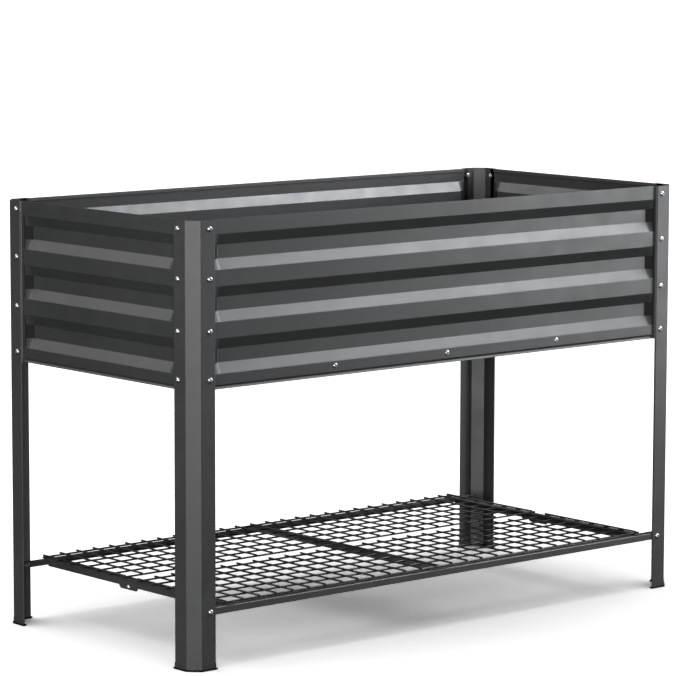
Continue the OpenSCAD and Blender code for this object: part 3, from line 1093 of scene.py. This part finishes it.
@dataclass
class Fasteners:
    """Bolts, nuts and rivets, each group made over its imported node."""

    around: int = 36
    dome: tuple[Point, ...] = (
        (0.5, 0.0),
        (0.5, 0.1),
        (0.485, 0.24),
        (0.445, 0.48),
        (0.37, 0.76),
        (0.29, 0.93),
        (0.24, 0.985),
    )
    thread: float = 1.0 * MM
    rivet_head: tuple[Point, ...] = (
        (0.3, 0.35), (0.32, 0.0), (0.55, 0.02), (0.82, 0.3), (1.0, 0.95), (1.0, 1.2), (0.55, 1.2)
    )
    rivet_tail: tuple[Point, ...] = ((0.55, 1.25), (0.86, 1.1), (0.8, 0.3), (0.3, 0.0))

    def axes(self, low: Vector, high: Vector, longest: bool) -> tuple[Vector, Vector]:
        """Finds a fastener's outer end and its inward direction from its box.

        Args:
            low: Lowest corner of its box.
            high: Highest corner.
            longest: True if the axis is the box's longest side, else the shortest.

        Returns:
            The middle of its outer end, and the direction in from there.
        """
        size = high - low
        pick = max if longest else min
        axis = pick(range(2), key=lambda k: size[k])
        middle = (low + high) / 2
        sign = 1.0 if middle[axis] > 0 else -1.0
        inward = Vector((0, 0, 0))
        inward[axis] = -sign
        outer = middle.copy()
        outer[axis] = high[axis] if sign > 0 else low[axis]
        return outer, inward

    def ring(self, centre: Vector, inward: Vector, radius) -> list[Place]:
        """One ring of points about an axis.

        Args:
            centre: Middle of the ring.
            inward: Direction of the axis.
            radius: A radius, or a function of the angle that gives one.

        Returns:
            The points, in the same order for every ring of a fastener.
        """
        return circle(centre, inward.cross(Z_AXIS), Z_AXIS, radius, self.around)

    def hexagon(self, flats: float):
        """Returns the radius of a hexagon at each angle.

        Args:
            flats: Distance across its flats.
        """

        def radius(t: float) -> float:
            """Distance from the centre to the hexagon's edge at an angle."""
            within = (t % (math.pi / 3)) - math.pi / 6
            return flats / 2 / math.cos(within)

        return radius

    def bolt(self, maker: MeshMaker, low: Vector, high: Vector) -> None:
        """Adds one round-headed bolt with a hexagon socket and a thread."""
        tip, inward = self.axes(low, high, True)
        axis = max(range(3), key=lambda k: abs(inward[k]))
        head = high.z - low.z
        length = (high - low)[axis]
        rise = 0.32 * head
        shank = head / 1.75
        socket = self.hexagon(0.42 * head * math.cos(math.pi / 6))
        floor = tip + inward * 0.17 * head
        lip = tip + inward * rise * 0.03
        rings = [
            self.ring(floor + inward * 0.05 * head, inward, 0.02 * head),
            self.ring(floor, inward, lambda t: socket(t) * 0.96),
            self.ring(lip + inward * 0.02 * head, inward, socket),
            self.ring(lip, inward, lambda t: socket(t) * 1.06),
        ]
        for width, drop in reversed(self.dome):
            rings.append(
                self.ring(tip + inward * rise * (1 - drop), inward, width * head)
            )
        seat = tip + inward * rise
        radius = shank / 2
        rings.append(self.ring(seat, inward, radius * 1.15))
        at = rise + 0.4 * MM
        turns = int((length - at - 0.6 * MM) / self.thread)
        for n in range(turns):
            here = tip + inward * (at + n * self.thread)
            rings.append(self.ring(here, inward, radius * 0.9))
            rings.append(self.ring(here + inward * self.thread / 2, inward, radius))
        rings.append(self.ring(tip + inward * (length - 0.5 * MM), inward, radius * 0.92))
        rings.append(self.ring(tip + inward * length, inward, radius * 0.76))
        maker.add(*ring_shell(rings))

    def nut(self, maker: MeshMaker, low: Vector, high: Vector) -> None:
        """Adds one hexagon nut with chamfered corners."""
        outer, inward = self.axes(low, high, False)
        axis = max(range(3), key=lambda k: abs(inward[k]))
        thick = (high - low)[axis]
        flats = min(high.z - low.z, (high - low)[1 - axis] if axis < 2 else 1.0)
        hexagon = self.hexagon(flats)
        face = flats * 0.475
        bore = flats / 1.67 / 2 + 0.05 * MM

        def corner(t: float) -> float:
            """How far the chamfer reaches down at an angle."""
            return max(0.0, hexagon(t) - face) * 0.55

        def chamfered(level: float, way: float) -> list[Place]:
            """A ring on the hexagon's side, lower at its corners."""
            flat = self.ring(outer, inward, hexagon)
            turns = (2 * math.pi * k / self.around for k in range(self.around))
            return [
                tuple(Vector(p) + inward * (level + way * corner(t)))
                for p, t in zip(flat, turns)
            ]

        rings = [
            self.ring(outer, inward, bore),
            self.ring(outer, inward, face),
            chamfered(0.0, 1.0),
            chamfered(thick, -1.0),
            self.ring(outer + inward * thick, inward, face),
            self.ring(outer + inward * thick, inward, bore * 1.12),
            self.ring(outer + inward * (thick - 0.5 * MM), inward, bore),
        ]
        rings.append(rings[0])
        maker.add(*ring_shell(rings, closed_ends=False))

    def rivet(self, maker: MeshMaker, low: Vector, high: Vector) -> None:
        """Adds one blind rivet: a domed head with its pin, and a pulled tail."""
        centre = (low + high) / 2
        radius = (high.x - low.x) / 2
        levels = [(width, high.z - drop * MM) for width, drop in self.rivet_head]
        levels += [(width, low.z + rise * MM) for width, rise in self.rivet_tail]
        rings = [
            circle(Vector((centre.x, centre.y, z)), X_AXIS, Y_AXIS, radius * width, 24)
            for width, z in levels
        ]
        verts, faces = ring_shell(rings)
        maker.add(verts, [tuple(reversed(f)) for f in faces])

    def group(self, node: str, add, material: bpy.types.Material, slot: str) -> None:
        """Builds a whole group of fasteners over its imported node.

        Args:
            node: The node that holds them.
            add: Method that adds one of them.
            material: Their finish.
            slot: The record's material slot.
        """
        maker = MeshMaker()
        boxes = solid_boxes(node)
        for low, high in boxes:
            add(maker, low, high)
        dress(maker.finish(f"{node}_set", 30.0), [material], slot, node)
        LOG.info("%s: %d", node.replace("_", " "), len(boxes))

    def build(self, finishes: Finishes) -> None:
        """Builds every group."""
        for place in ("leg", "brace", "rail", "splice"):
            self.group(f"{place}_bolts", self.bolt, finishes.zinc, "zinc_fasteners")
            self.group(f"{place}_nuts", self.nut, finishes.zinc, "zinc_fasteners")
        # The rivets take the same darker coat with its painted shade.
        self.group("shelf_rivets", self.rivet, finishes.dark_paint, "coated_wire")


# ----------------------------------------------------------------- the studio


def toward(azimuth: float, elevation: float) -> Vector:
    """Gives the direction from the planter to a light or camera.

    Args:
        azimuth: Degrees from the front, growing to the right.
        elevation: Degrees above level.

    Returns:
        A direction of length 1.
    """
    turn, rise = math.radians(azimuth), math.radians(elevation)
    level = math.cos(rise)
    return Vector((math.sin(turn) * level, -math.cos(turn) * level, math.sin(rise)))


@dataclass
class Softbox:
    """One studio light: a square panel, or with no distance a broad parallel light."""

    name: str
    azimuth: float
    elevation: float
    power: float
    distance: float = 0.0
    size: float = 1.2
    spread: float = 45.0
    colour: Colour = (1.0, 1.0, 1.0)
    aim: Place = (0.0, 0.0, 0.5)

    def build(self, receivers: bpy.types.Collection) -> None:
        """Hangs the light where it looks at its aim.

        Args:
            receivers: What the light does or does not reach.
        """
        away = toward(self.azimuth, self.elevation)
        data = bpy.data.lights.new(self.name, "AREA" if self.distance else "SUN")
        data.energy = self.power
        data.color = self.colour
        if self.distance:
            data.shape = "SQUARE"
            data.size = self.size
        else:
            data.angle = math.radians(self.spread)
        light = bpy.data.objects.new(self.name, data)
        light.light_linking.receiver_collection = receivers
        light.location = Vector(self.aim) + away * (self.distance or 5.0)
        light.rotation_euler = (-away).to_track_quat("-Z", "Y").to_euler()
        bpy.context.scene.collection.objects.link(light)


@dataclass
class Studio:
    """Floor, lights, sky and camera."""

    azimuth: float = -40.586
    elevation: float = 7.411
    roll: float = 0.133
    distance: float = 6.557
    target: Place = (-0.0236, 0.0, 0.5255)
    lens: float = 179.64
    floor_half: float = 150.0
    sky: float = 0.03
    sensor: float = 36.0
    cool: Colour = (0.965, 0.995, 1.035)

    def camera(self) -> None:
        """Sets the camera at its viewing angle."""
        back = toward(self.azimuth, self.elevation)
        right = (-back).cross(Z_AXIS).normalized()
        up = right.cross(-back)
        lean = math.radians(self.roll)
        across = right * math.cos(lean) + up * math.sin(lean)
        above = up * math.cos(lean) - right * math.sin(lean)
        data = bpy.data.cameras.new("camera")
        data.lens = self.lens
        data.sensor_width = self.sensor
        data.clip_start, data.clip_end = 0.1, 500.0
        camera = bpy.data.objects.new("camera", data)
        rotation = Matrix((across, above, back)).transposed()
        camera.matrix_world = Matrix.Translation(
            Vector(self.target) + back * self.distance
        ) @ rotation.to_4x4()
        bpy.context.scene.collection.objects.link(camera)
        bpy.context.scene.camera = camera

    def floor(self) -> list[bpy.types.Collection]:
        """Lays the pale floor.

        Returns:
            What keeps a light off the floor, and what keeps it to the floor.
        """
        h = self.floor_half
        maker = MeshMaker()
        maker.add([(-h, -h, 0), (h, -h, 0), (h, h, 0), (-h, h, 0)], [(0, 1, 2, 3)])
        made = maker.finish("studio_floor")
        made.data.materials.append(StudioPaper().material())
        made.visible_diffuse = False
        made.visible_glossy = False
        lit = []
        for name, state in (("off_the_floor", "EXCLUDE"), ("only_the_floor", "INCLUDE")):
            receivers = bpy.data.collections.new(name)
            receivers.objects.link(made)
            receivers.collection_objects[0].light_linking.link_state = state
            lit.append(receivers)
        return lit

    def world(self) -> None:
        """Shows a pale backdrop behind the floor, and adds a little light from all round."""
        world = bpy.data.worlds.new("studio")
        world.use_nodes = True
        nodes, links = world.node_tree.nodes, world.node_tree.links
        seen = nodes.new("ShaderNodeLightPath")
        strength = nodes.new("ShaderNodeMapRange")
        strength.inputs["To Min"].default_value = self.sky
        strength.inputs["To Max"].default_value = 1.0
        links.new(seen.outputs["Is Camera Ray"], strength.inputs["Value"])
        background = nodes["Background"]
        background.inputs["Color"].default_value = (1.0, 1.0, 1.0, 1.0)
        links.new(strength.outputs["Result"], background.inputs["Strength"])
        bpy.context.scene.world = world

    def build(self) -> None:
        """Builds the studio."""
        self.camera()
        off_floor, only_floor = self.floor()
        self.world()
        for box in (
            Softbox("by_the_camera", -40, 4, 294.0, 7.6, 2.0),
            Softbox("right_high_key", 65, 40, 53.7, 2.6, colour=self.cool),
            Softbox("right_high_fill", 50, 45, 23.6, 2.6, colour=self.cool),
            Softbox("right_low", 50, 5, 18.2, 2.6, 1.0, colour=self.cool),
            Softbox("right_middle", 60, 25, 8.4, 2.6, colour=self.cool),
            Softbox("left_side", -75, 20, 37.6, 3.0, 1.3),
            Softbox("back_left_sky", -139, 45, 1.44),
            Softbox("overhead_sky", 0, 90, 0.57, spread=60.0),
        ):
            box.build(off_floor)
        Softbox("floor_sky", -139, 84, 2.1, spread=100.0).build(only_floor)
        bpy.context.scene.view_settings.view_transform = "Standard"
        LOG.info("studio")


def main() -> None:
    """Builds the planter and its studio."""
    logging.basicConfig(level=logging.INFO, format="%(message)s")
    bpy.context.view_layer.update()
    Studio().build()
    finishes = Finishes.make()
    Legs().build(finishes)
    BedPanels().build(finishes)
    BedFloor().build(finishes)
    Shelf().build(finishes)
    Fasteners().build(finishes)
    bpy.context.view_layer.update()


if __name__ == "__main__":
    main()
